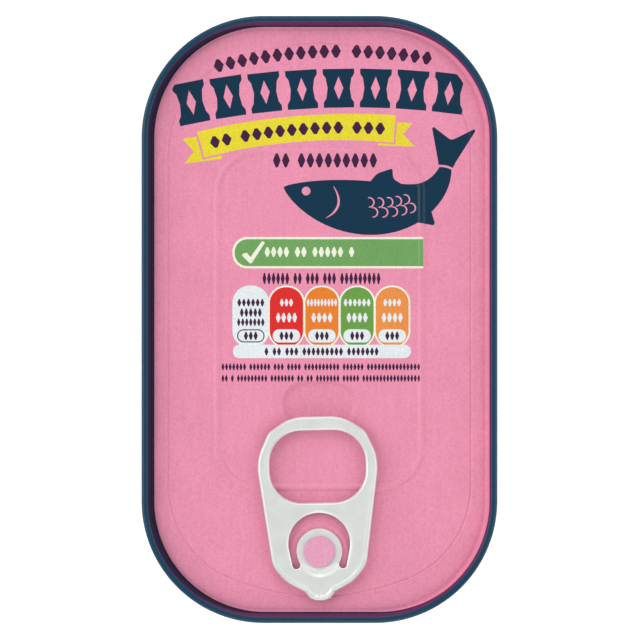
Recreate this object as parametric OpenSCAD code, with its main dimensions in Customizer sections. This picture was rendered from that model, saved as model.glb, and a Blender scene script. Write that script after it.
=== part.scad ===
// Ring-pull fish tin: a drawn oblong can body, a seamed-on easy-open lid and a riveted pull tab.
// Millimetres. X across the tin, Y along it (the tab is at the -Y end), Z up.
// The origin is the middle of the underside, on the surface that the tin stands on.

/* [Tin] */
// Length over the seam
tin_length = 108.0; // [90:0.5:140]
// Width over the seam
tin_width = 63.3; // [56:0.1:80]
// Height from the standing ring to the top of the seam
tin_height = 28.0; // [20:0.5:45]
// Corner radius of the outline over the seam
corner_radius = 21.7; // [20:0.1:27]

/* [Can body] */
// How far the seam stands out past the top of the body's wall
seam_overhang = 1.4; // [1:0.1:2]
// How much further in the wall is at the foot than under the seam
wall_taper = 0.5; // [0:0.1:1]
// Radius between the wall and the base
base_edge_radius = 3.0; // [1.5:0.1:4]
// Width of the flat ring that the tin stands on
standing_ring_width = 1.6; // [1:0.1:3]
// Height of the recessed middle of the base
base_recess = 0.9; // [0.4:0.1:1.6]
// Width of the slope from the standing ring up to the recess
base_slope_width = 1.2; // [0.8:0.1:2]
// Distance from the recess's edge to the ring pressed into the base
base_bead_inset = 3.0; // [2:0.1:5]
// Width of the ring pressed into the base
base_bead_width = 1.4; // [1:0.1:2]
// How far that ring stands down from the recess
base_bead_depth = 0.4; // [0.2:0.1:0.5]
// Width of each of that ring's slopes
base_bead_slope = 0.35; // [0.2:0.05:0.5]

/* [Seam] */
// Thickness across the double seam
seam_thickness = 1.3; // [1:0.05:1.8]
// Height of the double seam
seam_height = 3.0; // [2.4:0.1:3.6]
// Radius of the seam's lower outer edge
seam_foot_radius = 0.35; // [0.2:0.05:0.5]

/* [Lid] */
// Thickness of the lid's sheet
lid_sheet = 0.3; // [0.2:0.05:0.4]
// Depth from the top of the seam to the bottom of the groove inside it
groove_depth = 3.2; // [2.8:0.1:4]
// How far the wall inside the seam leans in on its way down
chuck_wall_lean = 0.75; // [0.4:0.05:1.2]
// Width of the flat bottom of the groove
groove_width = 0.5; // [0.4:0.05:1]
// Width of the slope from the groove up to the panel
groove_slope_width = 0.35; // [0.2:0.05:0.6]
// Depth from the top of the seam to the lid's panel
panel_depth = 2.4; // [2:0.1:2.8]

/* [Score line] */
// Distance from the seam's outside to the score line, along the sides
score_side_inset = 4.65; // [4.2:0.05:6]
// Distance from the seam's outside to the score line, at the ends
score_end_inset = 4.7; // [4.2:0.05:6]
// Radius of the score line's corners
score_corner_radius = 17.8; // [14:0.1:20]
// Radius of the score line's bowed ends
score_end_radius = 41.6; // [40:0.1:60]
// Width of the score
score_width = 0.25; // [0.15:0.05:0.4]
// Depth of the score
score_depth = 0.12; // [0.05:0.01:0.15]

/* [Panel bead] */
// Distance from the score line to the bead, along the sides
bead_side_inset = 8.1; // [6:0.1:12]
// Distance from the score line to the bead, at the ends
bead_end_inset = 18.7; // [12:0.1:24]
// Corner radius of the bead's outside
bead_corner_radius = 8.0; // [5:0.1:10]
// Width of the bead
bead_width = 1.4; // [1:0.1:2]
// Height of the bead
bead_height = 0.25; // [0.1:0.05:0.35]

/* [Rivet] */
// Distance from the seam's outside at the tab's end to the rivet
rivet_inset = 12.65; // [11:0.05:16]
// Radius of the raised boss under the tab
boss_radius = 4.7; // [4:0.1:5]
// Width of the slope round the boss
boss_slope = 0.5; // [0.2:0.1:0.8]
// Radius of the rivet's stem
rivet_stem_radius = 1.9; // [1.5:0.05:2.1]
// Radius of the rivet's head
rivet_head_radius = 2.8; // [2.4:0.05:3.2]
// Thickness of the rivet's head
rivet_head_height = 0.45; // [0.3:0.05:0.6]

/* [Pull tab] */
// Length of the tab from the rivet to the far edge of the finger ring
tab_reach = 24.1; // [22:0.1:28]
// Length of the tab from the rivet to the tip of the nose
tab_nose_reach = 8.65; // [7.5:0.05:9]
// Width of the tab across the finger ring
tab_width = 21.5; // [20:0.1:26]
// Radius of the finger ring's outside
tab_ring_radius = 8.6; // [7:0.1:10]
// Width of the tab across the rivet
tab_heel_width = 17.3; // [16:0.1:20]
// Corner radius of the tab's outline round the rivet
tab_heel_radius = 7.7; // [7:0.1:8]
// How far that outline is centred from the rivet, towards the finger ring
tab_heel_shift = 0.6; // [0:0.1:1]
// Radius of the nose that breaks the score
tab_nose_radius = 2.3; // [1.5:0.1:3]
// Width of the finger hole
finger_hole_width = 17.1; // [15:0.1:20]
// Length of the finger hole along the tab
finger_hole_length = 12.85; // [11:0.05:16]
// Corner radius of the finger hole
finger_hole_radius = 5.7; // [4:0.1:6.4]
// Width of the finger ring at the tab's end
finger_ring_width = 2.5; // [2:0.1:3.5]
// Radius of the outside of the slot round the rivet
slot_radius = 5.5; // [5:0.05:6]
// How far the slot's outside is centred from the rivet
slot_shift = 1.45; // [1:0.05:1.6]
// Radius of the tongue that the rivet holds
tongue_radius = 4.06; // [3.6:0.02:4.2]
// Radius of the slot's two ends
slot_end_radius = 0.7; // [0.5:0.05:0.8]
// Sideways distance from the rivet to each end of the slot
slot_end_spread = 4.15; // [4:0.05:4.4]
// How far the slot's ends lie on the nose's side of the rivet
slot_end_drop = 2.3; // [1.8:0.1:2.8]
// How far beyond the rivet the tongue's bend meets the web
tongue_bend_end = 4.6; // [4.2:0.1:5]
// Thickness of the tab at its curled edges
tab_thickness = 1.3; // [1:0.05:1.5]
// Thickness of the tab's single sheet
tab_sheet = 0.45; // [0.3:0.05:0.6]
// How far the sheet lies below the curled edges
tab_web_drop = 0.25; // [0.1:0.05:0.4]
// Width of the curled edge
tab_curl_width = 1.0; // [0.8:0.05:1.2]
// Turn of the tab about the rivet, in degrees
tab_turn = 1.2; // [0:0.1:3]
// Clearance between the tab's hole and the rivet's stem
rivet_clearance = 0.05; // [0.02:0.01:0.1]
// Gap between the panel and the underside of the tab
tab_gap = 0.4; // [0.36:0.02:0.6]

/* [Finger well] */
// Radius of the oval dent's round ends
well_radius = 4.4; // [3.5:0.1:5]
// Half the distance between the centres of its round ends
well_spread = 2.4; // [1:0.1:4]
// Depth of the dent below the panel
well_depth = 0.6; // [0.3:0.1:1]
// Width of the dent's sloping side
well_slope = 0.9; // [0.4:0.1:1.4]
// How far the dent's centre lies beyond the finger ring's edge
well_reach = 2.05; // [0:0.05:4]

/* [Hidden] */
$fn = 64;

tin_lacquer = [0.13, 0.27, 0.36];
lid_lacquer = [0.92, 0.59, 0.70];
bare_metal = [0.87, 0.87, 0.86];

// Heights
rim_top = tin_height;
seam_foot = rim_top - seam_height;
seam_shoulder = rim_top - seam_thickness / 2;
panel_top = rim_top - panel_depth;
groove_top = rim_top - groove_depth;
tab_bottom = panel_top + tab_gap;

// Distances in from the seam's outside
seam_radius = seam_thickness / 2;
groove_start = seam_thickness + chuck_wall_lean;
groove_end = groove_start + groove_width;
panel_start = groove_end + groove_slope_width;
rim_reach = panel_start + lid_sheet;
wall_foot = seam_overhang + wall_taper;
ring_start = wall_foot + base_edge_radius;
ring_end = ring_start + standing_ring_width;
recess_start = ring_end + base_slope_width;
base_bead_start = recess_start + base_bead_inset;
body_reach = base_bead_start + base_bead_width + base_bead_slope;

// Score line and bead, as half sizes
score_half_width = tin_width / 2 - score_side_inset;
score_half_length = tin_length / 2 - score_end_inset;
bead_half_width = score_half_width - bead_side_inset;
bead_half_length = score_half_length - bead_end_inset;

// Tab
tangent_sink = 0.003;
tongue_foot_lap = 0.1;
tongue_bend_start = rivet_head_radius + rivet_clearance;
rivet_y = rivet_inset - tin_length / 2;
ring_y = tab_reach - tab_ring_radius;
ring_x = tab_width / 2 - tab_ring_radius;
finger_hole_y = tab_reach - finger_ring_width - finger_hole_length / 2;
heel_x = tab_heel_width / 2 - tab_heel_radius;
nose_y = tab_nose_radius - tab_nose_reach;
well_y = rivet_y + tab_reach + well_reach;

// ---- Outlines ----

// Rectangle with rounded corners, given by its half sizes
module round_outline(half_width, half_length, radius) {
    union() {
        square([2 * half_width, 2 * (half_length - radius)], center = true);
        square([2 * (half_width - radius), 2 * half_length], center = true);
        for (x = [-1, 1], y = [-1, 1])
            translate([x * (half_width - radius), y * (half_length - radius)])
                circle(radius);
    }
}

// The tin's outline, moved in by a distance
module tin_outline(inset) {
    round_outline(tin_width / 2 - inset, tin_length / 2 - inset, corner_radius - inset);
}

// The score line's outline, moved in by a distance: straight sides, round corners and bowed ends
module score_outline(inset) {
    end_y = score_half_length - score_end_radius;
    corner_x = score_half_width - score_corner_radius;
    centre_gap = score_end_radius - score_corner_radius;
    corner_y = end_y + sqrt(centre_gap * centre_gap - corner_x * corner_x);
    reach = 2 * score_end_radius / centre_gap;
    union() {
        square([2 * (score_half_width - inset), 2 * corner_y], center = true);
        for (x = [-1, 1], y = [-1, 1])
            translate([x * corner_x, y * corner_y])
                circle(score_corner_radius - inset);
        for (y = [0, 1])
            mirror([0, y])
                intersection() {
                    translate([0, end_y])
                        circle(score_end_radius - inset, $fn = 256);
                    polygon([
                        [0, end_y],
                        [corner_x * reach, end_y + (corner_y - end_y) * reach],
                        [-corner_x * reach, end_y + (corner_y - end_y) * reach]
                    ]);
                }
    }
}

// The bead's outside, moved in by a distance
module bead_outline(inset) {
    round_outline(bead_half_width - inset, bead_half_length - inset, bead_corner_radius - inset);
}

// Unit vector square to the outer tangent of two circles, on the left going from a to b
function tangent_normal(a, ra, b, rb) =
    let (gap = b - a, length = norm(gap), along = (ra - rb) / length, across = sqrt(1 - along * along))
    (gap * along + [-gap[1], gap[0]] * across) / length;

// The strip between two circles, from centre to centre and out to their tangent on the left.
// It stops just inside the tangent, so that its edge crosses both circles cleanly.
module tangent_strip(a, ra, b, rb) {
    normal = tangent_normal(a, ra, b, rb);
    polygon([a, a + normal * (ra - tangent_sink), b + normal * (rb - tangent_sink), b]);
}

// ---- Sweeps round the tin ----

// Carries a profile once round the tin. In the profile, x is the distance in from the seam's
// outside and y is the height.
module round_the_tin() {
    for (side = [0 : 3]) {
        across = side % 2 == 0 ? tin_width : tin_length;
        along = side % 2 == 0 ? tin_length : tin_width;
        rotate(90 * side) {
            translate([across / 2, along / 2 - corner_radius, 0])
                rotate([90, 0, 0])
                    linear_extrude(along - 2 * corner_radius)
                        mirror([1, 0])
                            children();
            translate([across / 2 - corner_radius, along / 2 - corner_radius, 0])
                rotate_extrude(angle = 90, $fn = 128)
                    translate([corner_radius, 0])
                        mirror([1, 0])
                            children();
        }
    }
}

// ---- Can body ----

// A quarter of a disc, below and outside its centre
module outer_quarter(radius) {
    intersection() {
        circle(radius);
        translate([-2 * radius, -2 * radius])
            square(2 * radius);
    }
}

// Wall, base edge, standing ring and recess of the base, and the top that backs the lid
module body_profile() {
    union() {
        translate([ring_start, base_edge_radius])
            outer_quarter(base_edge_radius);
        polygon([
            [wall_foot, base_edge_radius],
            [ring_start, base_edge_radius],
            [ring_start, 0],
            [ring_end, 0],
            [recess_start, base_recess],
            [base_bead_start, base_recess],
            [base_bead_start + base_bead_slope, base_recess - base_bead_depth],
            [base_bead_start + base_bead_width - base_bead_slope, base_recess - base_bead_depth],
            [base_bead_start + base_bead_width, base_recess],
            [body_reach, base_recess],
            [body_reach, panel_top - lid_sheet],
            [panel_start, panel_top - lid_sheet],
            [groove_end, groove_top - lid_sheet],
            [groove_start - lid_sheet, groove_top - lid_sheet],
            [seam_overhang, seam_foot]
        ]);
    }
}

module can_body() {
    color(tin_lacquer)
        difference() {
            union() {
                round_the_tin()
                    body_profile();
                translate([0, 0, base_recess])
                    linear_extrude(panel_top - lid_sheet - base_recess)
                        tin_outline(body_reach);
            }
            finger_well(lid_sheet);
        }
}

// ---- Lid ----

// The oval dent beyond the finger ring, grown by the lid's sheet for its underside
module finger_well(grown) {
    floor_radius = well_radius - well_slope + grown;
    top_radius = well_radius + grown;
    translate([0, well_y, panel_top - well_depth - grown]) {
        for (x = [-1, 1])
            translate([x * well_spread, 0, 0]) {
                cylinder(well_depth, floor_radius, top_radius);
                translate([0, 0, well_depth])
                    cylinder(lid_sheet / 2, r = top_radius);
            }
        translate([-well_spread, 0, 0])
            rotate([90, 0, 90])
                linear_extrude(2 * well_spread)
                    polygon([
                        [-floor_radius, 0],
                        [floor_radius, 0],
                        [top_radius, well_depth],
                        [top_radius, well_depth + lid_sheet / 2],
                        [-top_radius, well_depth + lid_sheet / 2],
                        [-top_radius, well_depth]
                    ]);
    }
}

// Seam, wall inside the seam, groove and the edge of the panel
module rim_profile() {
    union() {
        translate([seam_radius, seam_shoulder])
            circle(seam_radius);
        translate([seam_foot_radius, seam_foot + seam_foot_radius])
            circle(seam_foot_radius);
        polygon([
            [0, seam_foot + seam_foot_radius],
            [seam_foot_radius, seam_foot],
            [seam_overhang, seam_foot],
            [groove_start - lid_sheet, groove_top - lid_sheet],
            [groove_end, groove_top - lid_sheet],
            [panel_start, panel_top - lid_sheet],
            [rim_reach, panel_top - lid_sheet],
            [rim_reach, panel_top],
            [panel_start, panel_top],
            [groove_end, groove_top],
            [groove_start, groove_top],
            [seam_thickness, seam_shoulder],
            [0, seam_shoulder]
        ]);
    }
}

// The boss, stem and head that hold the tab, formed from the panel itself
module rivet() {
    translate([0, rivet_y, panel_top]) {
        cylinder(tab_gap, boss_radius + boss_slope, boss_radius);
        translate([0, 0, tab_gap])
            cylinder(tab_sheet, r = rivet_stem_radius);
        translate([0, 0, tab_gap + tab_sheet])
            cylinder(rivet_head_height, r = rivet_head_radius);
    }
}

// The pressed ring that stiffens the panel
module panel_bead() {
    translate([0, 0, panel_top])
        linear_extrude(bead_height)
            difference() {
                bead_outline(0);
                bead_outline(bead_width);
            }
}

// The fine cut that the lid tears along
module score_line() {
    translate([0, 0, panel_top - score_depth])
        linear_extrude(2 * score_depth)
            difference() {
                score_outline(-score_width / 2);
                score_outline(score_width / 2);
            }
}

module lid() {
    color(lid_lacquer)
        difference() {
            union() {
                round_the_tin()
                    rim_profile();
                translate([0, 0, panel_top - lid_sheet])
                    linear_extrude(lid_sheet)
                        tin_outline(rim_reach);
                finger_well(lid_sheet);
                panel_bead();
                rivet();
            }
            finger_well(0);
            score_line();
        }
}

// ---- Pull tab ----

// Two circles side by side and the strip between them, as the finger ring and the heel have
module side_by_side(half_gap, radius) {
    union() {
        square([2 * half_gap, 2 * radius], center = true);
        for (x = [-1, 1])
            translate([x * half_gap, 0])
                circle(radius);
    }
}

// Outline of the tab about the rivet, moved in by a distance
module tab_outline(inset) {
    ring = tab_ring_radius - inset;
    heel = tab_heel_radius - inset;
    union() {
        translate([0, ring_y])
            side_by_side(ring_x, ring);
        translate([0, tab_heel_shift])
            side_by_side(heel_x, heel);
        translate([0, nose_y])
            circle(tab_nose_radius - inset);
        polygon([[-ring_x, ring_y], [ring_x, ring_y], [heel_x, tab_heel_shift], [-heel_x, tab_heel_shift]]);
        for (x = [0, 1])
            mirror([x, 0])
                tangent_strip([ring_x, ring_y], ring, [heel_x, tab_heel_shift], heel);
    }
}

// The finger hole, grown by a distance
module finger_hole(grown) {
    translate([0, finger_hole_y])
        round_outline(finger_hole_width / 2 + grown, finger_hole_length / 2 + grown, finger_hole_radius + grown);
}

// The tongue that the rivet holds, down to where it joins the rest of the tab
module tongue_outline() {
    foot_half = slot_end_spread - slot_end_radius + tongue_foot_lap;
    union() {
        circle(tongue_radius);
        translate([-foot_half, -tongue_bend_end])
            square([2 * foot_half, tongue_bend_end]);
    }
}

// The tongue and the slot round it
module tongue_opening() {
    slot_centre = [0, slot_shift];
    slot_end = [slot_end_spread, -slot_end_drop];
    union() {
        translate(slot_centre)
            circle(slot_radius);
        for (x = [0, 1])
            mirror([x, 0]) {
                translate(slot_end)
                    circle(slot_end_radius);
                tangent_strip(slot_centre, slot_radius, slot_end, slot_end_radius);
            }
        tongue_outline();
    }
}

// The tongue's sheet: flat on the boss, then bent up to the level of the web
module tongue() {
    rise = tab_thickness - tab_web_drop - tab_sheet;
    intersection() {
        linear_extrude(tab_thickness)
            tongue_outline();
        rotate([90, 0, 90])
            translate([0, 0, -slot_end_spread])
                linear_extrude(2 * slot_end_spread)
                    polygon([
                        [tongue_radius, 0],
                        [tongue_radius, tab_sheet],
                        [-tongue_bend_start, tab_sheet],
                        [-tongue_bend_end, tab_sheet + rise],
                        [-tongue_bend_end, rise],
                        [-tongue_bend_start, 0]
                    ]);
    }
}

// The single sheet between the curled edges
module tab_web() {
    translate([0, 0, tab_thickness - tab_web_drop - tab_sheet])
        linear_extrude(tab_sheet)
            difference() {
                tab_outline(0);
                finger_hole(0);
                tongue_opening();
            }
}

// The sheet rolled under along the outline and round the finger hole
module tab_curls() {
    linear_extrude(tab_thickness)
        difference() {
            union() {
                difference() {
                    tab_outline(0);
                    tab_outline(tab_curl_width);
                }
                finger_hole(tab_curl_width);
            }
            finger_hole(0);
        }
}

module pull_tab() {
    color(bare_metal)
        translate([0, rivet_y, tab_bottom])
            rotate(tab_turn)
                difference() {
                    union() {
                        tab_curls();
                        tab_web();
                        tongue();
                    }
                    translate([0, 0, -1])
                        cylinder(tab_thickness + 2, r = rivet_stem_radius + rivet_clearance);
                }
}

can_body();
lid();
pull_tab();
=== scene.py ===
import math

import bmesh
import bpy
import numpy as np
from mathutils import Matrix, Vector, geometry, kdtree


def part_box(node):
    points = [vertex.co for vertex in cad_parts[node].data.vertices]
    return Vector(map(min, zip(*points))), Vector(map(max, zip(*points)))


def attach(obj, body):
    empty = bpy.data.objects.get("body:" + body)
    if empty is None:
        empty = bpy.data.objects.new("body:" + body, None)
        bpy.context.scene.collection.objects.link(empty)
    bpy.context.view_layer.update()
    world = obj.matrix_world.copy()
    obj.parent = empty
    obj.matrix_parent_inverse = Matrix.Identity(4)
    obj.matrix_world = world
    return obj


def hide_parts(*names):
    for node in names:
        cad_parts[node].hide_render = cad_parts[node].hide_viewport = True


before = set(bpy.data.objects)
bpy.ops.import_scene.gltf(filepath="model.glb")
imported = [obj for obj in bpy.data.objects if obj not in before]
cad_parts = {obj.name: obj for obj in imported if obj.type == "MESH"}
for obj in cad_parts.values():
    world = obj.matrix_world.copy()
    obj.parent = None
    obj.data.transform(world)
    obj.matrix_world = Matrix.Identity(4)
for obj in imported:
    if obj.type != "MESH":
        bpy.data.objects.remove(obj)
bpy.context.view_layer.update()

# A shut oblong fish tin. Sizes are in millimetres, in the frame's own axes, but for the stage and the lamps,
# which are in metres.
MM = 0.001

OUTER = np.array(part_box("lid")[1]) / MM
OUTER_HALF, RIM_TOP = OUTER[:2], OUTER[2]
CORNER_RADIUS = 21.7
PANEL_TOP = RIM_TOP - 2.4
GROOVE_TOP = RIM_TOP - 2.46
SEAM_FOOT = RIM_TOP - 3.0
# How far in from the outside the flat panel starts, and how far in the print on it may reach.
PANEL_EDGE = 3.05
PRINT_EDGE = 3.2
RIVET = np.array([0.0, -41.35])
TAB_BOTTOM = PANEL_TOP + 0.4


# ---- Outlines ----

def rise(value, start, width):
    """A smooth step: 0 up to a start, and 1 from a width further on."""
    t = np.clip((value - start) / width, 0.0, 1.0)
    return t * t * (3 - 2 * t)


def tin_ring(corner_steps=44, long_steps=84, short_steps=24):
    """The tin's outline over the seam, counter-clockwise, and its outward normals."""
    reach_x, reach_y = OUTER_HALF - CORNER_RADIUS
    centres = [(reach_x, reach_y), (-reach_x, reach_y), (-reach_x, -reach_y), (reach_x, -reach_y)]
    steps_after = [short_steps, long_steps, short_steps, long_steps]
    points, normals = [], []
    for i, centre in enumerate(centres):
        for k in range(corner_steps + 1):
            angle = math.radians(90 * i + 90 * k / corner_steps)
            normal = np.array([math.cos(angle), math.sin(angle)])
            points.append(np.array(centre) + CORNER_RADIUS * normal)
            normals.append(normal)
        end = np.array(centres[(i + 1) % 4]) + CORNER_RADIUS * normal
        for k in range(1, steps_after[i]):
            points.append(points[-1] + (end - points[-1]) / (steps_after[i] - k + 1))
            normals.append(normal)
    return np.array(points), np.array(normals)


def subdivided(path, step, least=0.04):
    """The closed path with no side longer than a step, less the points that all but meet the one before."""
    kept = [path[0]]
    for point in path[1:]:
        if np.hypot(*(point - kept[-1])) > least:
            kept.append(point)
    if np.hypot(*(kept[-1] - kept[0])) < least:
        kept.pop()
    path = np.array(kept)
    out = []
    for a, b in zip(path, np.roll(path, -1, axis=0)):
        parts = max(1, math.ceil(np.hypot(*(b - a)) / step))
        out.extend(a + (b - a) * k / parts for k in range(parts))
    return np.array(out)


def rounded_corner(before, corner, after, step=None):
    """Points that round a corner of (x, y, radius) between two others.

    There are 13, or where a step is given enough to keep to it and to turn by at most 0.2 a step.
    """
    here = np.array(corner[:2], float)
    back, ahead = np.array(before[:2]) - here, np.array(after[:2]) - here
    reach_back, reach_ahead = np.hypot(*back), np.hypot(*ahead)
    back, ahead = back / reach_back, ahead / reach_ahead
    middle = back + ahead
    half = math.acos(float(np.clip(back @ ahead, -1, 1))) / 2
    # An arc takes less than half of each side, so that two neighbours never meet.
    tangent = min(corner[2] / math.tan(half), 0.495 * min(reach_back, reach_ahead))
    radius = tangent * math.tan(half)
    if radius < 1e-4 or np.hypot(*middle) < 1e-6:
        return [here]
    centre = here + middle / np.hypot(*middle) * radius / math.sin(half)
    start, end = here + back * tangent - centre, here + ahead * tangent - centre
    first = math.atan2(start[1], start[0])
    sweep = (math.atan2(end[1], end[0]) - first + math.pi) % (2 * math.pi) - math.pi
    steps = 12
    if step:
        steps = max(2, math.ceil(abs(sweep) * radius / step), math.ceil(abs(sweep) / 0.2))
    out = []
    for k in range(steps + 1):
        angle = first + sweep * k / steps
        out.append(centre + radius * np.array([math.cos(angle), math.sin(angle)]))
    return out


def filleted(corners, step=0.25):
    """A closed outline through corners of (x, y, radius), each rounded by its radius."""
    out = []
    for i, corner in enumerate(corners):
        out += rounded_corner(corners[i - 1], corner, corners[(i + 1) % len(corners)], step)
    return np.array(out)


def rounded_profile(waypoints):
    """An open line through waypoints of (distance in, height, radius), rounded at all but its ends."""
    out = [np.array(waypoints[0][:2], float)]
    for before, corner, after in zip(waypoints, waypoints[1:], waypoints[2:]):
        out += rounded_corner(before, corner, after)
    out.append(np.array(waypoints[-1][:2], float))
    return np.array(out)


def line_lengths(line):
    """How far along a line each of its points is."""
    return np.concatenate([[0], np.cumsum(np.hypot(*np.diff(line, axis=0).T))])


def on_line(line, lengths, at):
    """The points that lie some way along a line."""
    return np.stack([np.interp(at, lengths, line[:, 0]), np.interp(at, lengths, line[:, 1])], axis=-1)


def evenly_spaced(path, step):
    """The closed path with points the same distance apart, about a step."""
    closed = np.concatenate([path, path[:1]])
    lengths = line_lengths(closed)
    count = math.ceil(lengths[-1] / step)
    return on_line(closed, lengths, np.arange(count) * lengths[-1] / count)


def circle(x, y, radius, steps=48):
    turn = np.arange(steps) * 2 * math.pi / steps
    return np.stack([x + radius * np.cos(turn), y + radius * np.sin(turn)], axis=1)


def rounded_bar(x0, x1, y0, y1, radius):
    return filleted([(x0, y0, radius), (x1, y0, radius), (x1, y1, radius), (x0, y1, radius)])


def stroke(points, width, taper):
    """A closed outline round an open line, drawn with a width that may shrink to its ends."""
    points = np.array(points, float)
    along = np.gradient(points, axis=0)
    along /= np.linalg.norm(along, axis=1)[:, None]
    side = np.stack([-along[:, 1], along[:, 0]], axis=1)
    t = np.linspace(-1, 1, len(points))
    half = width / 2 * (1 - taper * t ** 2)
    return np.concatenate([points + side * half[:, None], (points - side * half[:, None])[::-1]])


def arc_points(x, y, radius, start, end, steps):
    """As many points as steps on an arc between two angles in degrees."""
    turn = np.radians(np.linspace(start, end, steps))
    return np.stack([x + radius * np.cos(turn), y + radius * np.sin(turn)], axis=1)


def inside(points, path):
    """Which points lie inside a closed path."""
    x, y = points[:, 0], points[:, 1]
    found = np.zeros(len(points), bool)
    low, high = path.min(0), path.max(0)
    near = np.nonzero((x >= low[0]) & (x <= high[0]) & (y >= low[1]) & (y <= high[1]))[0]
    px, py = x[near], y[near]
    hit = np.zeros(len(near), bool)
    for (ax, ay), (bx, by) in zip(path, np.roll(path, -1, axis=0)):
        if ay == by:
            continue
        crosses = (ay > py) != (by > py)
        hit ^= crosses & (px < (bx - ax) * (py - ay) / (by - ay) + ax)
    found[near] = hit
    return found


def distance(points, path):
    """How far each point is from a closed path."""
    a, b = path, np.roll(path, -1, axis=0)
    side = b - a
    length = np.maximum((side ** 2).sum(1), 1e-12)
    out = np.empty(len(points))
    for i in range(0, len(points), 2000):
        p = points[i:i + 2000, None, :]
        t = np.clip(((p - a) * side).sum(2) / length, 0, 1)
        out[i:i + 2000] = np.sqrt((((a + t[..., None] * side) - p) ** 2).sum(2)).min(1)
    return out


def offset_rings(path, offsets, slack=0.02):
    """Points set off from a counter-clockwise path, inwards for a positive offset.

    Where a ring folds back in a tight bend its points come too near the path, and are left out.
    """
    along = np.roll(path, -1, axis=0) - np.roll(path, 1, axis=0)
    along /= np.linalg.norm(along, axis=1)[:, None]
    inward = np.stack([-along[:, 1], along[:, 0]], axis=1)
    rings = []
    for offset in offsets:
        ring = path + inward * offset
        rings.append(ring[distance(ring, path) > abs(offset) - slack])
    return np.concatenate(rings)


def thinned(points, keep_from, spacing):
    """Points, less those nearer than a spacing to the ones in keep_from."""
    tree = kdtree.KDTree(len(keep_from))
    for i, (x, y) in enumerate(keep_from):
        tree.insert((x, y, 0), i)
    tree.balance()
    clear = [p for p in points if tree.find((p[0], p[1], 0))[2] > spacing]
    return np.array(clear).reshape(-1, 2)


def grid_points(low, high, step):
    """Points in staggered rows over a box."""
    out = []
    for j, y in enumerate(np.arange(low[1] + step / 2, high[1], step * 0.87)):
        out.extend((x, y) for x in np.arange(low[0] + step * (0.25 if j % 2 else 0.75), high[0], step))
    return np.array(out)


def triangulated(loops, points):
    """Triangles through every loop and free point: corners, and three corner numbers a triangle."""
    corners = [tuple(p) for p in points]
    edges = []
    for loop in loops:
        first = len(corners)
        corners.extend(tuple(p) for p in loop)
        edges.extend((first + k, first + (k + 1) % len(loop)) for k in range(len(loop)))
    found, _, faces, _, _, _ = geometry.delaunay_2d_cdt(corners, edges, [], 0, 1e-5, False)
    return np.array([tuple(v) for v in found]), np.array([f for f in faces if len(f) == 3])


def cross_z(points, triangles):
    """Positive for each triangle that runs counter-clockwise."""
    a, b, c = points[triangles[:, 0]], points[triangles[:, 1]], points[triangles[:, 2]]
    return (b[:, 0] - a[:, 0]) * (c[:, 1] - a[:, 1]) - (b[:, 1] - a[:, 1]) * (c[:, 0] - a[:, 0])


# ---- Meshes ----

def make_piece(name, corners, faces, materials, face_materials=None, weld=0.0):
    """A smooth-shaded object from corners in millimetres. Corners nearer than a weld become one."""
    mesh = bpy.data.meshes.new(name)
    points = [tuple(c * MM) for c in np.asarray(corners, float)]
    mesh.from_pydata(points, [], [tuple(int(i) for i in f) for f in faces])
    for material in materials:
        mesh.materials.append(material)
    if face_materials is not None:
        mesh.polygons.foreach_set("material_index", np.array(face_materials, np.int32))
    mesh.polygons.foreach_set("use_smooth", np.ones(len(mesh.polygons), bool))
    mesh.update()
    piece = bpy.data.objects.new(name, mesh)
    bpy.context.scene.collection.objects.link(piece)
    if weld:
        work = bmesh.new()
        work.from_mesh(mesh)
        bmesh.ops.remove_doubles(work, verts=work.verts, dist=weld * MM)
        bmesh.ops.dissolve_degenerate(work, dist=weld * MM, edges=work.edges)
        work.to_mesh(mesh)
        work.free()
        mesh.update()
    return piece


def swept(ring, normals, profile_at):
    """Corners of rings that follow the tin. A ring has a distance in and a height for each outline point."""
    corners = np.empty((len(profile_at), len(ring), 3))
    corners[:, :, :2] = ring[None] - profile_at[:, :, :1] * normals[None]
    corners[:, :, 2] = profile_at[:, :, 1]
    return corners.reshape(-1, 3)


def ring_faces(rings, count):
    """Four-sided faces between rings of as many corners each."""
    faces = []
    for j in range(rings - 1):
        for i in range(count):
            k = (i + 1) % count
            faces.append((j * count + i, j * count + k, (j + 1) * count + k, (j + 1) * count + i))
    return faces


def lathe(name, profile, centre, material, steps=64):
    """A round piece from (radius, height) pairs, from its underside out and up to its middle."""
    corners = []
    for radius, height in profile:
        for i in range(steps):
            turn = 2 * math.pi * i / steps
            corners.append((centre[0] + radius * math.cos(turn), centre[1] + radius * math.sin(turn), height))
    faces = ring_faces(len(profile), steps)
    faces.append(tuple(reversed(range(steps))))
    last = (len(profile) - 1) * steps
    faces.append(tuple(last + i for i in range(steps)))
    return make_piece(name, np.array(corners), faces, [material])


# ---- Materials ----

def linear(rgb):
    """A display colour of 0 to 255 as the linear colour that a shader takes."""
    out = []
    for c in rgb:
        c = c / 255
        out.append(c / 12.92 if c <= 0.04045 else ((c + 0.055) / 1.055) ** 2.4)
    return out


def new_material(name):
    """A material with its nodes, its links and its surface shader."""
    material = bpy.data.materials.new(name)
    material.use_nodes = True
    nodes = material.node_tree.nodes
    return material, nodes, material.node_tree.links, nodes["Principled BSDF"]


def noise_node(nodes, links, coordinates, scale, stretch=(1, 1, 1), detail=3.0):
    """Soft noise with a scale for each metre. A stretch under 1 draws it out along that axis."""
    mapping = nodes.new("ShaderNodeMapping")
    mapping.inputs["Scale"].default_value = stretch
    links.new(coordinates, mapping.inputs["Vector"])
    noise = nodes.new("ShaderNodeTexNoise")
    noise.inputs["Scale"].default_value = scale
    noise.inputs["Detail"].default_value = detail
    noise.inputs["Roughness"].default_value = 0.6
    links.new(mapping.outputs["Vector"], noise.inputs["Vector"])
    return noise.outputs["Fac"]


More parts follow.
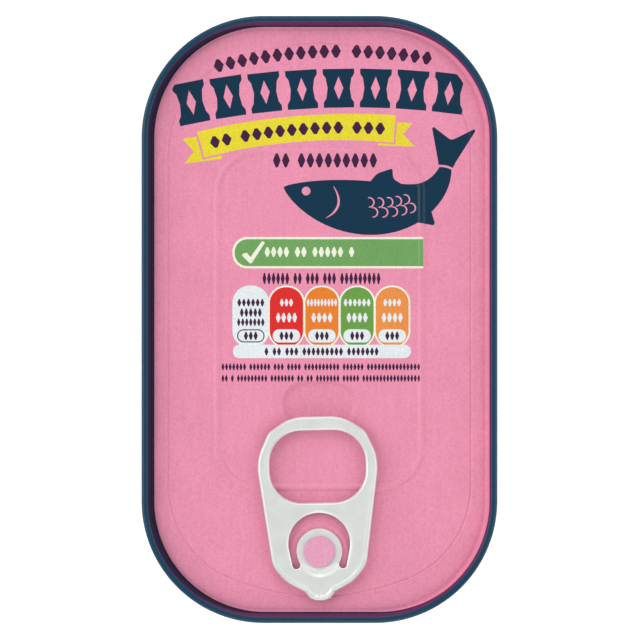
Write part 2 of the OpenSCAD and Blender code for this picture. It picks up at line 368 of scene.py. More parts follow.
def two_tones(nodes, links, factor, colour, spread):
    """A ramp from a little darker than a colour to a little lighter."""
    ramp = nodes.new("ShaderNodeValToRGB")
    ramp.color_ramp.elements[0].position = 0.3
    ramp.color_ramp.elements[1].position = 0.7
    ramp.color_ramp.elements[0].color = [c * (1 - spread) for c in colour] + [1]
    ramp.color_ramp.elements[1].color = [min(1, c * (1 + spread)) for c in colour] + [1]
    links.new(factor, ramp.inputs["Fac"])
    return ramp.outputs["Color"]


def average(nodes, links, a, b, share):
    """The mean of two values, with b's share."""
    mix = nodes.new("ShaderNodeMix")
    mix.data_type = "FLOAT"
    mix.inputs[0].default_value = share
    links.new(a, mix.inputs[2])
    links.new(b, mix.inputs[3])
    return mix.outputs[0]


def set_bump(nodes, links, shader, height, strength):
    """Shades a surface as if a pattern 0.04 mm deep were pressed into it."""
    relief = nodes.new("ShaderNodeBump")
    relief.inputs["Strength"].default_value = strength
    relief.inputs["Distance"].default_value = 0.04 * MM
    links.new(height, relief.inputs["Height"])
    links.new(relief.outputs["Normal"], shader.inputs["Normal"])


def lacquer(name, rgb, specular=0.24, coat=0.12, bump=0.12):
    """Lacquer on rolled sheet: fine grain that runs along the tin, orange peel and a clear varnish."""
    material, nodes, links, shader = new_material(name)
    place = nodes.new("ShaderNodeTexCoord").outputs["Object"]
    grain = noise_node(nodes, links, place, 2600.0)
    streaks = noise_node(nodes, links, place, 1500.0, stretch=(1.0, 0.12, 1.0))
    clouds = noise_node(nodes, links, place, 110.0, detail=1.0)
    both = average(nodes, links, average(nodes, links, grain, streaks, 0.25), clouds, 0.16)
    links.new(two_tones(nodes, links, both, linear(rgb), 0.14), shader.inputs["Base Color"])
    peel = noise_node(nodes, links, place, 900.0, detail=2.0)
    set_bump(nodes, links, shader, average(nodes, links, peel, grain, 0.4), bump)
    shader.inputs["Roughness"].default_value = 0.4
    shader.inputs["Specular IOR Level"].default_value = specular
    shader.inputs["Coat Weight"].default_value = coat
    shader.inputs["Coat Roughness"].default_value = 0.22
    return material


def stamped_metal(name, rgb):
    """Bare satin aluminium with the fine lines of rolled sheet and the soft mottling of stamping."""
    material, nodes, links, shader = new_material(name)
    place = nodes.new("ShaderNodeTexCoord").outputs["Object"]
    grain = noise_node(nodes, links, place, 3200.0)
    lines = noise_node(nodes, links, place, 4200.0, stretch=(1.0, 0.05, 1.0))
    mottle = noise_node(nodes, links, place, 420.0, detail=2.0)
    fine = average(nodes, links, grain, lines, 0.5)
    both = average(nodes, links, fine, mottle, 0.5)
    links.new(two_tones(nodes, links, both, linear(rgb), 0.05), shader.inputs["Base Color"])
    set_bump(nodes, links, shader, fine, 0.16)
    rough = nodes.new("ShaderNodeMapRange")
    rough.inputs["To Min"].default_value = 0.3
    rough.inputs["To Max"].default_value = 0.42
    links.new(mottle, rough.inputs["Value"])
    links.new(rough.outputs["Result"], shader.inputs["Roughness"])
    shader.inputs["Metallic"].default_value = 0.3
    return material


# Trap is the thin dark band between the seam's navy and the pink, where two prints overlap. The overprint
# band is partly that overlap and partly painted shade: its dark colour stands in for the shade at the wall's
# foot and on the left wall.
PRINT_COLOURS = {
    "pink": (234, 146, 175),
    "navy": (0, 48, 72),
    "seam_navy": (16, 61, 87),
    "trap": (104, 48, 92),
    "overprint_shade": (44, 40, 64),
    "plum": (62, 26, 62),
    "yellow": (232, 216, 50),
    "cream": (240, 240, 220),
    "pill_green": (112, 164, 94),
    "white": (228, 235, 238),
    "red": (222, 42, 42),
    "orange": (232, 128, 44),
    "orange_light": (234, 144, 72),
    "green": (106, 157, 70),
}


# ---- Print: fields of colour and simple shapes, laid down in order ----

PRINT = []


def lay(colour, path):
    """Adds a shape to the print, pulled in where it would cross the panel's edge."""
    path = subdivided(np.array(path, float), 0.6)
    out = np.maximum(np.abs(path) - (OUTER_HALF - CORNER_RADIUS), 0)
    reach = np.maximum(np.hypot(*out.T), 1e-9)
    excess = np.maximum(reach - (CORNER_RADIUS - PRINT_EDGE), 0)
    PRINT.append((colour, path - np.sign(path) * out * (excess / reach)[:, None]))


def flat(y):
    """A straight line of print."""
    return lambda x, height: (x, y + height)


def arched(peak_x, peak_y, radius):
    """A line of print on an arc that bulges up to its peak."""
    def point(x, height):
        angle = math.asin((x - peak_x) / radius)
        return (peak_x + (radius + height) * math.sin(angle),
                peak_y - radius + (radius + height) * math.cos(angle))
    return point


def marks(colour, line, x0, x1, height, groups, fill=0.86, gap=0.75):
    """Groups of small lozenges along a line, where a pack has lettering."""
    pitch = (x1 - x0) / (sum(groups) + gap * (len(groups) - 1))
    x = x0
    for count in groups:
        for _ in range(count):
            middle, half = x + pitch / 2, fill * pitch / 2
            tip = 0.28 * half
            lower = [line(middle - half, height / 2), line(middle - tip, 0), line(middle + tip, 0)]
            upper = [line(middle + half, height / 2), line(middle + tip, height), line(middle - tip, height)]
            lay(colour, lower + upper)
            x += pitch
        x += gap * pitch


def tile(line, x, width, height):
    """A waisted tile with a lozenge cut through its middle."""
    waist = [(0.5, 0.13), (0.41, 0.24), (0.36, 0.5), (0.41, 0.76), (0.5, 0.87)]
    outline = [(-0.5, 0.0), (0.5, 0.0), *waist, (0.5, 1.0), (-0.5, 1.0)] + [(-u, v) for u, v in waist[::-1]]
    cut = [(0, 0.2), (0.15, 0.5), (0, 0.8), (-0.15, 0.5)]
    lay("navy", [line(x + u * width, v * height) for u, v in outline])
    lay("pink", [line(x + u * width, v * height) for u, v in cut])


def title_band():
    """A row of small marks over a row of large tiles, both on arcs. The tiles are taller towards the ends."""
    marks("plum", arched(4.0, 46.65, 94.0), -18.7, 20.0, 2.3, [11, 7])
    line = arched(6.0, 37.8, 142.0)
    tiles, x0, x1 = 8, -25.3, 25.9
    pitch = (x1 - x0) / tiles
    for k in range(tiles):
        x = x0 + (k + 0.5) * pitch
        tile(line, x, 0.84 * pitch, 6.9 + 0.7 * ((x - 6.0) / 31.5) ** 2)


def ribbon():
    """An arched ribbon with a forked end on each side, a fold at each end, and marks on it."""
    top, bottom = arched(5.8, 36.65, 120.0), arched(3.7, 31.97, 95.0)
    lay("yellow", [(-24.4, 32.2), (-18.0, 33.2), (-17.4, 28.6), (-24.0, 27.8), (-22.4, 29.9)])
    lay("yellow", [(10.2, 35.3), (16.6, 35.0), (14.9, 33.0), (17.0, 30.8), (10.4, 31.0)])
    for x0, x1, sense in [(-21.8, -20.5, -1), (13.6, 13.2, 1)]:
        lay("pink", [bottom(x1 - sense * 3, -0.3), bottom(x1 + sense * 0.35, -0.3),
                     top(x0 + sense * 0.35, 0.3), top(x0 - sense * 3, 0.3)])
    lower_side = [bottom(x, 0) for x in np.linspace(-20.5, 13.2, 40)]
    upper_side = [top(x, 0) for x in np.linspace(13.6, -21.8, 40)]
    lay("yellow", lower_side + upper_side)
    line = arched(4.6, 33.15, 105.0)
    marks("plum", line, -19.4, 11.8, 2.1, [2, 9, 3], gap=0.6)


def fish():
    """A plain curved fish, drawn along a bent spine from its snout to the root of its tail."""
    guides = np.array([(-6.4, 23.6), (6.0, 18.4), (21.4, 17.4), (22.7, 28.2)])

    def at(t, across):
        """The point a share t of the way along the spine, and some way off it to its upper side."""
        weights = np.array([(1 - t) ** 3, 3 * t * (1 - t) ** 2, 3 * t ** 2 * (1 - t), t ** 3])
        slopes = np.array([-(1 - t) ** 2, (1 - t) * (1 - 3 * t), t * (2 - 3 * t), t ** 2])
        x, y = slopes @ guides
        return weights @ guides + across * np.array([-y, x]) / math.hypot(x, y)

    def half(t):
        """Half the fish's height at that point."""
        return 4.8 * math.sin(math.pi * t ** 0.72) ** 1.1 + 0.8 * rise(t, 0.7, 0.3)

    shares = np.linspace(1e-4, 0.9999, 70)
    lay("navy", [at(t, half(t)) for t in shares] + [at(t, -half(t)) for t in shares[::-1]])
    lay("navy", filleted([(*at(0.36, 3.0), 0), (*at(0.44, 6.2), 2.5), (*at(0.56, 6.9), 0.3),
                          (*at(0.55, 5.0), 1.2), (*at(0.64, 3.0), 0)]))
    lay("navy", filleted([(*at(0.6, -3.0), 0), (*at(0.7, -5.4), 0.4), (*at(0.72, -2.0), 0)]))
    lay("navy", filleted([(*at(0.95, 1.1), 1.5), (*at(1.0, 1.6), 2.5), (20.0, 34.6, 0.25), (23.5, 31.9, 1.0),
                          (28.2, 34.2, 0.25), (*at(1.0, -1.6), 2.5), (*at(0.95, -1.1), 1.5)]))
    lay("pink", circle(*at(0.1, 0.75), 0.78, 28))
    lay("pink", stroke([at(0.215 + 0.04 * (1 - u * u), 2.9 * u) for u in np.linspace(-1, 1, 14)], 0.42, 0.8))
    for row in range(2):
        for k in range(5):
            x, y = at(0.4 + 0.05 * k + 0.02 * row, 1.0 - 1.75 * row)
            lay("pink", stroke(arc_points(x, y, 0.85, 105, -95, 9), 0.26, 0.4))
    lay("pink", stroke([at(0.95 + 0.02 * (1 - u * u), 2.2 * u) for u in np.linspace(-1, 1, 10)], 0.4, 0.3))


def claim_pill():
    """A green field that is rounded at its left end, with a tick and a row of marks."""
    lay("cream", filleted([(-15.5, 9.1, 2.6), (18.5, 9.1, 0), (18.5, 14.7, 0), (-15.5, 14.7, 2.6)]))
    lay("pill_green", filleted([(-15.1, 9.5, 2.3), (18.5, 9.5, 0), (18.5, 14.3, 0), (-15.1, 14.3, 2.3)]))
    lay("cream", filleted([(-14.0, 11.6, 0.25), (-12.9, 11.9, 0.2), (-12.3, 11.1, 0.1), (-10.2, 14.0, 0.2),
                           (-9.7, 13.7, 0.15), (-12.2, 9.8, 0.35)]))
    marks("cream", flat(11.15), -9.85, 6.3, 1.75, [4, 2, 5, 1])


def lozenge(x0, x1, colour, ink):
    """A coloured field with a pale border and a small pill in its lower part."""
    lay("white" if ink == "plum" else "cream", rounded_bar(x0 - 0.1, x1 + 0.1, -5.1, 6.05, 3.1))
    lay(colour, rounded_bar(x0 + 0.2, x1 - 0.2, -4.85, 5.75, 2.85))
    middle = (x0 + x1) / 2
    pill = rounded_bar(middle - 2.45, middle + 2.45, -4.1, -1.75, 1.17)
    if ink == "plum":
        lay("plum", pill)
        lay(colour, rounded_bar(middle - 2.25, middle + 2.25, -3.9, -1.95, 0.97))
    else:
        lay("white", pill)
    marks("plum", flat(-3.65), middle - 1.3, middle + 1.3, 1.45, [3])


def panel_of_lozenges():
    """Five coloured fields side by side on a bar, with rows of marks on, over and under them."""
    marks("plum", flat(6.3), -10.2, 10.95, 2.0, [6, 2, 3, 3, 9])
    edges = [-15.4, -9.05, -2.7, 3.6, 9.85, 16.1]
    colours = ["white", "red", "orange", "green", "orange_light"]
    label_marks = [6, 3, 9, 6, 4]
    for x0, x1, colour, count in zip(edges, edges[1:], colours, label_marks):
        ink = "plum" if colour == "white" else "white"
        lozenge(x0, x1, colour, ink)
        middle = (x0 + x1) / 2
        half = min(2.75, 0.41 * count)
        marks(ink, flat(2.35), middle - half, middle + half, 1.3, [count])
        if colour == "white":
            marks(ink, flat(0.5), middle - 2.0, middle + 2.0, 1.45, [5])
            marks(ink, flat(-1.15), middle - 2.5, middle + 2.5, 1.3, [7])
        else:
            marks(ink, flat(-0.5), middle - 1.95, middle + 1.95, 1.65, [4])
    lay("white", rounded_bar(-15.4, 16.3, -6.9, -4.5, 1.15))
    marks("plum", flat(-6.4), -9.85, 10.6, 1.35, [1, 2, 3, 9, 7])
    marks("plum", flat(-9.05), -17.5, 18.0, 1.2, [7, 6, 3, 4, 10, 6, 15])
    marks("plum", flat(-11.1), -17.5, 18.0, 1.2, [2, 1, 9, 7, 2, 2, 7, 5, 17])


title_band()
ribbon()
marks("plum", flat(27.1), -8.4, 10.4, 2.5, [2, 9])
fish()
claim_pill()
panel_of_lozenges()


# ---- Lid ----

# The score line has straight sides, corner arcs and wide end arcs. These are its half size, the radii of the
# corner and end arcs, the end arc's centre and the corner arc's centre.
SCORE_HALF = OUTER_HALF - np.array([4.65, 4.7])
SCORE_CORNER, SCORE_END = 17.8, 41.6
SCORE_END_Y = SCORE_HALF[1] - SCORE_END
SCORE_CORNER_X = SCORE_HALF[0] - SCORE_CORNER
SCORE_CORNER_Y = SCORE_END_Y + math.sqrt((SCORE_END - SCORE_CORNER) ** 2 - SCORE_CORNER_X ** 2)
BEAD_HALF = SCORE_HALF - np.array([8.1, 18.7])
BEAD_RADIUS = 8.0
# The finger well is a bar with round ends, under the far end of the tab's ring.
TAB_REACH = 24.1
WELL = np.array([0.0, RIVET[1] + TAB_REACH + 2.05])
WELL_RADIUS, WELL_SPREAD = 4.4, 2.4

# Depths and heights of what is pressed into the panel.
DISH_DEPTH = 0.1
BEAD_HEIGHT = 0.28
FIELD_DEPTH = 0.06
SCORE_DEPTH = 0.16
SCORE_BURR = 0.03
WELL_DEPTH = 0.6
WELL_LIP = 0.07
BOSS_SLOPE = 0.38
BOSS_STEP = 0.16
BOSS_FOOT_RADIUS, BOSS_STEP_RADIUS = 8.6, 5.5

# How far in from the outside each band on the wall ends: the navy and the trap, which are print, and the
# overprint, which is partly print and partly painted shade and reaches furthest on the left, where shade
# falls. Two of them change round the tin, and their first list is the x of the wall's outward direction.
NAVY_REACH = 1.12
TRAP_REACH = ([-1, -0.6, 0, 1], [1.14, 1.24, 1.62, 1.38])
OVERPRINT_SHADE_REACH = ([-1, 0, 0.6, 1], [2.24, 1.9, 1.52, 1.4])
SEAM_CREST = 0.65


def box_depth(points, half, radius):
    """How far in from a rounded rectangle's edge each point is."""
    q = np.abs(points) - (half - radius)
    return radius - np.hypot(*np.maximum(q, 0).T) - np.minimum(q.max(1), 0)


def score_depth(points):
    """How far in from the score line each point is."""
    x, y = np.abs(points[:, 0]), np.abs(points[:, 1])
    side = SCORE_HALF[0] - x
    corner = SCORE_CORNER - np.hypot(x - SCORE_CORNER_X, y - SCORE_CORNER_Y)
    end = SCORE_END - np.hypot(x, y - SCORE_END_Y)
    at_end = (y - SCORE_END_Y) * SCORE_CORNER_X > x * (SCORE_CORNER_Y - SCORE_END_Y)
    return np.where(at_end, end, np.where(y < SCORE_CORNER_Y, side, corner))


def well_depth_in(points):
    """How far in from the finger well's edge each point is."""
    q = points - WELL
    x = np.maximum(np.abs(q[:, 0]) - WELL_SPREAD, 0)
    return WELL_RADIUS - np.hypot(x, q[:, 1])


def panel_height(points):
    """The pressed shape of the lid's panel."""
    z = np.full(len(points), PANEL_TOP)
    edge = box_depth(points, OUTER_HALF, CORNER_RADIUS) - PANEL_EDGE
    z -= DISH_DEPTH * rise(edge, 0, 1.6)
    bead = box_depth(points, BEAD_HALF, BEAD_RADIUS)
    z += BEAD_HEIGHT * (rise(bead, 0, 0.5) - rise(bead, 0.9, 0.5))
    z -= FIELD_DEPTH * rise(bead, 1.4, 5.0)
    score = np.abs(score_depth(points))
    burr = SCORE_BURR * (1 - rise(np.abs(score - 0.32), 0, 0.16))
    z -= SCORE_DEPTH * (1 - rise(score, 0, 0.2)) - burr
    well = well_depth_in(points)
    z += WELL_LIP * rise(well, -0.6, 0.55) * (1 - rise(well, 0, 0.35))
    z -= WELL_DEPTH * rise(well, 0.05, 0.95)
    from_rivet = np.hypot(*(points - RIVET).T)
    slope = BOSS_SLOPE * rise(BOSS_FOOT_RADIUS - from_rivet, 0, 2.6)
    z += slope + BOSS_STEP * rise(BOSS_STEP_RADIUS - from_rivet, 0, 0.7)
    return np.minimum(z, TAB_BOTTOM - 0.01)


def score_path():
    """The score line as a closed path: a quarter of it, mirrored three times."""
    lean = math.degrees(math.atan2(SCORE_CORNER_Y - SCORE_END_Y, SCORE_CORNER_X))
    quarter = np.concatenate([
        np.array([[SCORE_HALF[0], y] for y in np.linspace(0, SCORE_CORNER_Y, 90)]),
        arc_points(SCORE_CORNER_X, SCORE_CORNER_Y, SCORE_CORNER, 0, lean, 70),
        arc_points(0, SCORE_END_Y, SCORE_END, lean, 90, 50)])
    back = quarter[::-1]
    path = np.concatenate([quarter, back * [-1, 1], quarter * [-1, -1], back * [1, -1]])
    return path[np.hypot(*(path - np.roll(path, 1, axis=0)).T) > 0.05]


def relief_points():
    """Rings of points along every pressed edge."""
    bead_path = rounded_bar(-BEAD_HALF[0], BEAD_HALF[0], -BEAD_HALF[1], BEAD_HALF[1], BEAD_RADIUS)
    bead_offsets = [-0.15, 0.02, 0.17, 0.33, 0.5, 0.7, 0.9, 1.07, 1.23, 1.4, 1.6]
    score_offsets = [-0.5, -0.36, -0.2, -0.1, 0.0, 0.1, 0.2, 0.36, 0.5]
    well_path = rounded_bar(WELL[0] - WELL_SPREAD - WELL_RADIUS, WELL[0] + WELL_SPREAD + WELL_RADIUS,
                            WELL[1] - WELL_RADIUS, WELL[1] + WELL_RADIUS, WELL_RADIUS)
    rings = [offset_rings(subdivided(bead_path, 0.4), bead_offsets),
             offset_rings(score_path(), score_offsets),
             offset_rings(subdivided(well_path, 0.25), np.arange(-0.7, 1.31, 0.14))]
    rings += [circle(*RIVET, radius, 150) for radius in np.arange(4.4, 5.9, 0.14)]
    return np.concatenate(rings)


def seam_and_wall(ring, normals):
    """The lid from under its seam, over the rim and down to the panel: corners, faces and face colours."""
    count = len(ring)
    line = rounded_profile([
        (1.55, SEAM_FOOT - 0.55, 0), (1.5, SEAM_FOOT, 0.02), (0.06, SEAM_FOOT, 0.3),
        (0.0, SEAM_FOOT + 1.0, 2.0), (0.0, RIM_TOP, 0.62), (1.24, RIM_TOP, 0.6), (1.8, GROOVE_TOP, 0.34),
        (2.25, GROOVE_TOP, 0.3), (2.6, PANEL_TOP, 0.5), (PANEL_EDGE, PANEL_TOP, 0)])
    lengths = line_lengths(line)
    # The bands end past the seam's crest, where the line only goes further in.
    on_top = line[:, 1] > RIM_TOP - 0.01
    falling = lengths > np.interp(SEAM_CREST, line[on_top, 0], lengths[on_top])
    side = normals[:, 0]
    reaches = [np.full(count, NAVY_REACH), np.interp(side, *TRAP_REACH), np.interp(side, *OVERPRINT_SHADE_REACH)]
    ends = [np.interp(reach, line[falling, 0], lengths[falling]) for reach in reaches]
    ends.append(np.full(count, lengths[-1]))
    # The overprint band's dark colour is partly painted shade on the wall.
    bands = [("seam_navy", 50), ("trap", 14), ("overprint_shade", 14), ("pink", 30)]
    at, tones, start = [np.zeros(count)], [], np.zeros(count)
    for (band, steps), end in zip(bands, ends):
        at += [start + (end - start) * (k + 1) / steps for k in range(steps)]
        tones += [band] * steps * count
        start = end
    faces = ring_faces(len(at), count)
    faces.append(tuple(reversed(range(count))))
    tones.append("seam_navy")
    return swept(ring, normals, on_line(line, lengths, np.array(at))), faces, tones


def printed_panel(edge):
    """The panel inside its edge: corners, triangles that keep to the print's shapes, and their colours."""
    paths = [path for _, path in PRINT]
    fixed = np.concatenate(paths + [edge])
    relief = thinned(relief_points(), fixed, 0.1)
    area = OUTER_HALF - PANEL_EDGE
    free = grid_points(-area, area, 0.62)
    free = free[box_depth(free, OUTER_HALF, CORNER_RADIUS) > PANEL_EDGE + 0.25]
    free = thinned(free, np.concatenate([fixed, relief]), 0.3)
    points, triangles = triangulated([edge] + paths, np.concatenate([relief, free]))
    centres = points[triangles].mean(1)
    tones = np.full(len(triangles), "pink", dtype=object)
    for colour, path in PRINT:
        tones[inside(centres, path)] = colour
    z = panel_height(points)
    z[distance(points, edge) < 0.002] = PANEL_TOP
    return np.column_stack([points, z]), triangles, list(tones)


def lid_piece():
    """The seam, the wall and the printed panel, in one colour of lacquer for each field of print."""
    dull = {"specular": 0.04, "coat": 0.0}
    materials = []
    for name, rgb in PRINT_COLOURS.items():
        # The trap and the overprint band, whose dark colour is partly painted shade, have next to no shine.
        materials.append(lacquer("print_" + name, rgb, **(dull if name in ("trap", "overprint_shade") else {})))
    ring, normals = tin_ring()
    corners, faces, tones = seam_and_wall(ring, normals)
    panel_corners, triangles, panel_tones = printed_panel(ring - PANEL_EDGE * normals)
    faces += [tuple(t) for t in triangles + len(corners)]
    corners = np.concatenate([corners, panel_corners])
    names = list(PRINT_COLOURS)
    face_materials = [names.index(tone) for tone in tones + panel_tones]
    piece = make_piece("tin_lid", corners, faces, materials, face_materials, weld=0.002)
    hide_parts("lid")
    return piece


def rivet_piece():
    """The rivet's stem, which starts in the lid's boss, and its head just over the tab's sheet."""
    base = TAB_BOTTOM
    head = base + 0.45
    top = head + 0.45
    profile = [(1.88, base - 0.2), (1.88, head + 0.005), (2.62, head + 0.005), (2.74, head + 0.04),
               (2.8, head + 0.13), (2.79, head + 0.22), (2.72, head + 0.32), (2.58, head + 0.39),
               (2.36, top - 0.02), (2.1, top), (1.8, top - 0.005), (1.4, top - 0.03),
               (0.9, top - 0.045), (0.4, top - 0.05)]
    # The rivet is of the panel's pink lacquer; its lighter pink is painted sheen on the raised head.
    rivet = lathe("lid_rivet", profile, RIVET, lacquer("rivet_pink_painted_sheen", (230, 162, 190), bump=0.2))
    return rivet


# ---- Pull tab, drawn with its rivet at (0, 0) and its finger ring towards +Y ----

TAB_TURN = math.radians(1.2)
TAB_HALF_HEIGHT = 0.65
TAB_SHEET = 0.42
TAB_WEB = 1.2
# How far in from an edge the roll is highest, half the thickness of its rim, and the tab's least thickness.
TAB_ROLL = 0.42
TAB_RIM_HALF = 0.09
TAB_LEAST = 0.12
HOLE_MIDDLE = 15.17
HOLE_HALF_WIDTH, HOLE_HALF_LENGTH, HOLE_CORNER = 8.55, 6.425, 5.7
STEM_HOLE_RADIUS = 1.95
# The tongue inside the slot is flat within this radius, round a point this far from the rivet.
TONGUE_RADIUS, TONGUE_SHIFT = 4.15, 0.05


def mirrored(right_side):
    """A closed outline from the corners of its right side, which run from the ring down to the nose."""
    return right_side[::-1] + [(-x, y, r) for x, y, r in right_side]


def tab_outline():
    right_side = [(4.6, TAB_REACH, 9), (8.6, 21.4, 2), (10.95, 16.4, 9), (8.35, -2.6, 5), (5.9, -5.4, 6),
                  (2.7, -7.1, 0.5), (1.85, -8.3, 1.0), (0.75, -8.72, 1.2)]
    return filleted(mirrored(right_side), 0.2)


def hole_outline():
    return rounded_bar(-HOLE_HALF_WIDTH, HOLE_HALF_WIDTH, HOLE_MIDDLE - HOLE_HALF_LENGTH,
                       HOLE_MIDDLE + HOLE_HALF_LENGTH, HOLE_CORNER)


def slot_outline():
    """The C-shaped slot: an outer arc, an inner arc and a round end at each side, counter-clockwise."""
    left_end = arc_points(-4.15, -2.3, 0.7, 191.2, 389.5, 16)
    right_end = arc_points(4.15, -2.3, 0.7, 150.5, 348.8, 16)
    outer = arc_points(0, 1.45, 5.5, -11.2, 191.2, 80)
    inner = arc_points(0, TONGUE_SHIFT, 4.06, 209.5, -29.5, 64)
    return np.concatenate([outer, left_end[1:], inner[1:], right_end[1:-1]])


def tab_sheet(outline, openings):
    """The tab seen from above, less its openings: corners and counter-clockwise triangles."""
    hole, slot, _ = openings
    steps = [0.05, 0.13, 0.24, 0.38, 0.54, 0.7, 0.86, 1.02, 1.18, 1.34, 1.5]
    relief = np.concatenate([offset_rings(outline, steps), offset_rings(hole, [-s for s in steps]),
                             offset_rings(slot, [-0.06, -0.16, -0.3])])
    loops = [outline, *openings]
    loop_points = np.concatenate(loops)
    relief = thinned(relief, loop_points, 0.022)
    free = grid_points(outline.min(0), outline.max(0), 0.26)
    free = free[inside(free, outline) & ~inside(free, hole)]
    free = thinned(free, np.concatenate([loop_points, relief]), 0.13)
    points, triangles = triangulated(loops, np.concatenate([relief, free]))
    centres = points[triangles].mean(1)
    kept = inside(centres, outline)
    for opening in openings:
        kept &= ~inside(centres, opening)
    triangles = triangles[kept]
    used = np.unique(triangles)
    renumber = np.full(len(points), -1)
    renumber[used] = np.arange(len(used))
    points, triangles = points[used], renumber[triangles]
    clockwise = cross_z(points, triangles) < 0
    triangles[clockwise] = triangles[clockwise][:, ::-1]
    return points, triangles


def tab_heights(points, outline, hole, slot):
    """Heights of the tab's upper and lower faces over its underside."""
    x, y = points.T
    edge = np.minimum(distance(points, outline), distance(points, hole))
    from_slot = distance(points, slot)

    # The web is lower towards the nose and beside the slot. It drops to the tongue with a crease at the fold.
    web = TAB_WEB - 0.14 * rise(-y, 1.0, 4.0)
    fold = y + 4.3 - 0.4 * np.abs(x)
    on_tongue = 1 - rise(np.hypot(x, y - TONGUE_SHIFT), TONGUE_RADIUS, 0.5)
    web -= 0.13 * (1 - rise(from_slot, 0, 0.6)) * (1 - on_tongue) * rise(y, -4.0, 2.0)
    web -= (web - TAB_SHEET) * rise(fold, -1.3, 2.9) * on_tongue
    web -= 0.05 * (1 - rise(np.abs(fold), 0, 0.28)) * (1 - rise(np.abs(x), 3.6, 0.5))

    # The rolled edge is a half round on both faces, which runs out into the web.
    bulge = np.sqrt(np.clip(1 - (1 - np.minimum(edge / TAB_ROLL, 1)) ** 2, 0, None))
    roll = rise(edge, 0.5, 0.7)
    under_roll = rise(edge, 0.95, 0.5)
    top = TAB_HALF_HEIGHT * (1 + bulge) * (1 - roll) + np.minimum(web, 2 * TAB_HALF_HEIGHT) * roll
    bottom = TAB_HALF_HEIGHT * (1 - bulge) * (1 - under_roll) + (web - TAB_SHEET) * under_roll

    # The nose has small wrinkles and a nick at each side, and the slot a soft edge.
    wrinkles = np.exp(-((y + 7.75) / 0.65) ** 2) * np.exp(-(x / 1.5) ** 2) * (1 + np.cos(7.0 * x))
    nicks = np.exp(-(((np.abs(x) - 2.75) / 0.34) ** 2 + ((y + 7.25) / 0.34) ** 2))
    top -= 0.07 * wrinkles
    top -= 0.4 * nicks * bulge
    top -= 0.05 * (1 - rise(from_slot, 0, 0.12))

    rim = edge < 0.01
    top[rim], bottom[rim] = TAB_HALF_HEIGHT + TAB_RIM_HALF, TAB_HALF_HEIGHT - TAB_RIM_HALF
    return top, np.minimum(np.maximum(bottom, 0.0), top - TAB_LEAST)


def tab_piece():
    outline = evenly_spaced(tab_outline(), 0.2)
    hole = evenly_spaced(hole_outline(), 0.2)
    slot = evenly_spaced(slot_outline(), 0.2)
    points, triangles = tab_sheet(outline, (hole, slot, circle(0, 0, STEM_HOLE_RADIUS)))
    top, bottom = tab_heights(points, outline, hole, slot)
    cosine, sine = math.cos(TAB_TURN), math.sin(TAB_TURN)
    placed = points @ np.array([[cosine, sine], [-sine, cosine]]) + RIVET
    corners = np.concatenate([np.column_stack([placed, TAB_BOTTOM + top]),
                              np.column_stack([placed, TAB_BOTTOM + bottom])])
    count = len(points)
    faces = [tuple(t) for t in triangles] + [tuple(t[::-1] + count) for t in triangles]
    sides = [(int(i), int(j)) for a, b, c in triangles for i, j in ((a, b), (b, c), (c, a))]
    known = set(sides)
    faces += [(j, i, i + count, j + count) for i, j in sides if (j, i) not in known]
    piece = make_piece("ring_pull", corners, faces, [stamped_metal("tab_aluminium", (233, 237, 233))])
    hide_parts("pull_tab")
    return piece


# ---- Body ----

BASE_RECESS = 0.9
BASE_BEAD = 0.5


def body_piece():
    """The body from inside the seam down its wall, round its standing ring and over its recessed base."""
    ring, normals = tin_ring()
    count = len(ring)
    line = rounded_profile([
        (1.56, SEAM_FOOT - 0.62, 0), (1.53, SEAM_FOOT - 0.01, 0.02), (1.4, SEAM_FOOT - 0.01, 0.02),
        (1.9, 0.0, 3.0), (6.5, 0.0, 0.5), (7.7, BASE_RECESS, 0.5), (10.7, BASE_RECESS, 0.3),
        (11.05, BASE_BEAD, 0.25), (11.75, BASE_BEAD, 0.25), (12.1, BASE_RECESS, 0.3), (14.5, BASE_RECESS, 0)])
    lengths = line_lengths(line)
    at = np.unique(np.concatenate([lengths, np.linspace(0, lengths[-1], 90)]))
    at = at[np.concatenate([[True], np.diff(at) > 0.01])]
    profile = on_line(line, lengths, at)
    corners = swept(ring, normals, np.repeat(profile[:, None, :], count, axis=1))
    faces = [tuple(reversed(f)) for f in ring_faces(len(at), count)]
    faces.append(tuple(range(count)))
    last = (len(at) - 1) * count
    faces.append(tuple(last + i for i in reversed(range(count))))
    piece = make_piece("tin_body", corners, faces, [lacquer("body_lacquer", PRINT_COLOURS["seam_navy"])])
    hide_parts("can_body")
    return piece


# ---- Floor, light and camera ----

def glow(shader, strength):
    """Gives a matt surface a white light of its own."""
    shader.inputs["Specular IOR Level"].default_value = 0.0
    shader.inputs["Emission Color"].default_value = (1, 1, 1, 1)
    shader.inputs["Emission Strength"].default_value = strength


def set_floor():
    bpy.ops.mesh.primitive_plane_add(size=6.0, location=(0, 0, -0.02 * MM))
    floor = bpy.context.object
    floor.name = "floor"
    material, nodes, links, shader = new_material("pale_floor")
    place = nodes.new("ShaderNodeTexCoord").outputs["Object"]
    links.new(two_tones(nodes, links, noise_node(nodes, links, place, 60.0), [0.93] * 3, 0.01),
              shader.inputs["Base Color"])
    shader.inputs["Roughness"].default_value = 0.9
    glow(shader, 0.5)
    floor.data.materials.append(material)


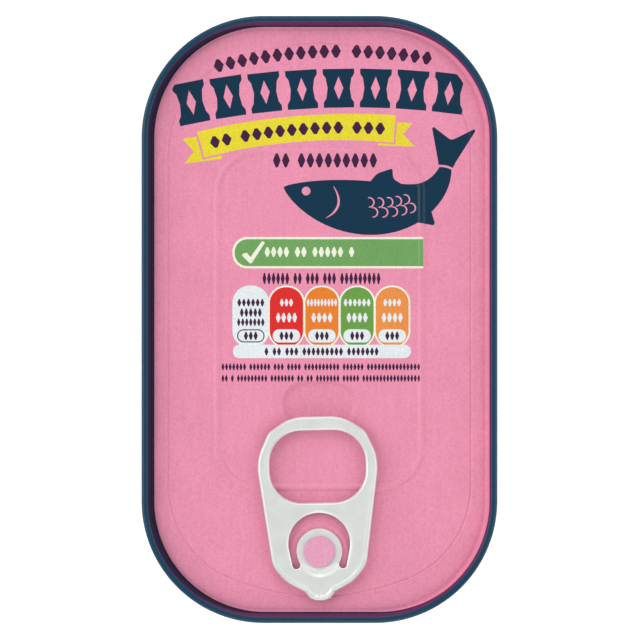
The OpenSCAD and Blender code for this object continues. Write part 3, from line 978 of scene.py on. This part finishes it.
def set_backdrop():
    """A pale wall far round the tin, which only the camera sees, so that it adds no light."""
    bpy.ops.mesh.primitive_cylinder_add(vertices=96, radius=2.9, depth=5.0, end_fill_type="NOTHING")
    backdrop = bpy.context.object
    backdrop.name = "backdrop"
    material, _, _, shader = new_material("pale_backdrop")
    shader.inputs["Base Color"].default_value = (0, 0, 0, 1)
    glow(shader, 0.86)
    backdrop.data.materials.append(material)
    for ray in ("diffuse", "glossy", "transmission", "shadow"):
        setattr(backdrop, "visible_" + ray, False)


def area_light(name, location, power):
    """A round lamp, 1 m across, that points at the tin."""
    light = bpy.data.lights.new(name, "AREA")
    light.shape = "DISK"
    light.size = 1.0
    light.energy = power
    lamp = bpy.data.objects.new(name, light)
    bpy.context.scene.collection.objects.link(lamp)
    lamp.location = location
    lamp.rotation_euler = (-lamp.location).to_track_quat("-Z", "Y").to_euler()


def set_light():
    """A soft lamp on each side, the left one the strongest, and an even white world."""
    world = bpy.data.worlds.new("studio")
    bpy.context.scene.world = world
    world.use_nodes = True
    background = world.node_tree.nodes["Background"]
    background.inputs["Color"].default_value = (1, 1, 1, 1)
    background.inputs["Strength"].default_value = 0.34
    area_light("softbox_left", (-0.95, 0.15, 0.6), 6.5)
    area_light("softbox_right", (0.95, 0.05, 0.65), 4.2)
    area_light("softbox_far", (0.0, 0.95, 0.65), 4.3)
    area_light("softbox_near", (0.0, -0.95, 0.6), 4.2)


def set_camera():
    """A camera far above the tin, a little off its middle, that looks straight down."""
    data = bpy.data.cameras.new("camera")
    camera = bpy.data.objects.new("camera", data)
    bpy.context.scene.collection.objects.link(camera)
    off_x, off_y, distance_up = 0.107, -0.098, 1000.0
    view_width = 113.76
    data.sensor_width = 36.0
    data.lens = data.sensor_width * distance_up / view_width
    data.clip_end = 50.0
    camera.location = (off_x * MM, off_y * MM, (RIM_TOP + distance_up) * MM)
    camera.rotation_euler = (0, 0, 0)
    bpy.context.scene.camera = camera
    bpy.context.scene.view_settings.view_transform = "Standard"


for part in (body_piece(), lid_piece(), rivet_piece(), tab_piece()):
    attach(part, "root")
set_floor()
set_backdrop()
set_light()
set_camera()
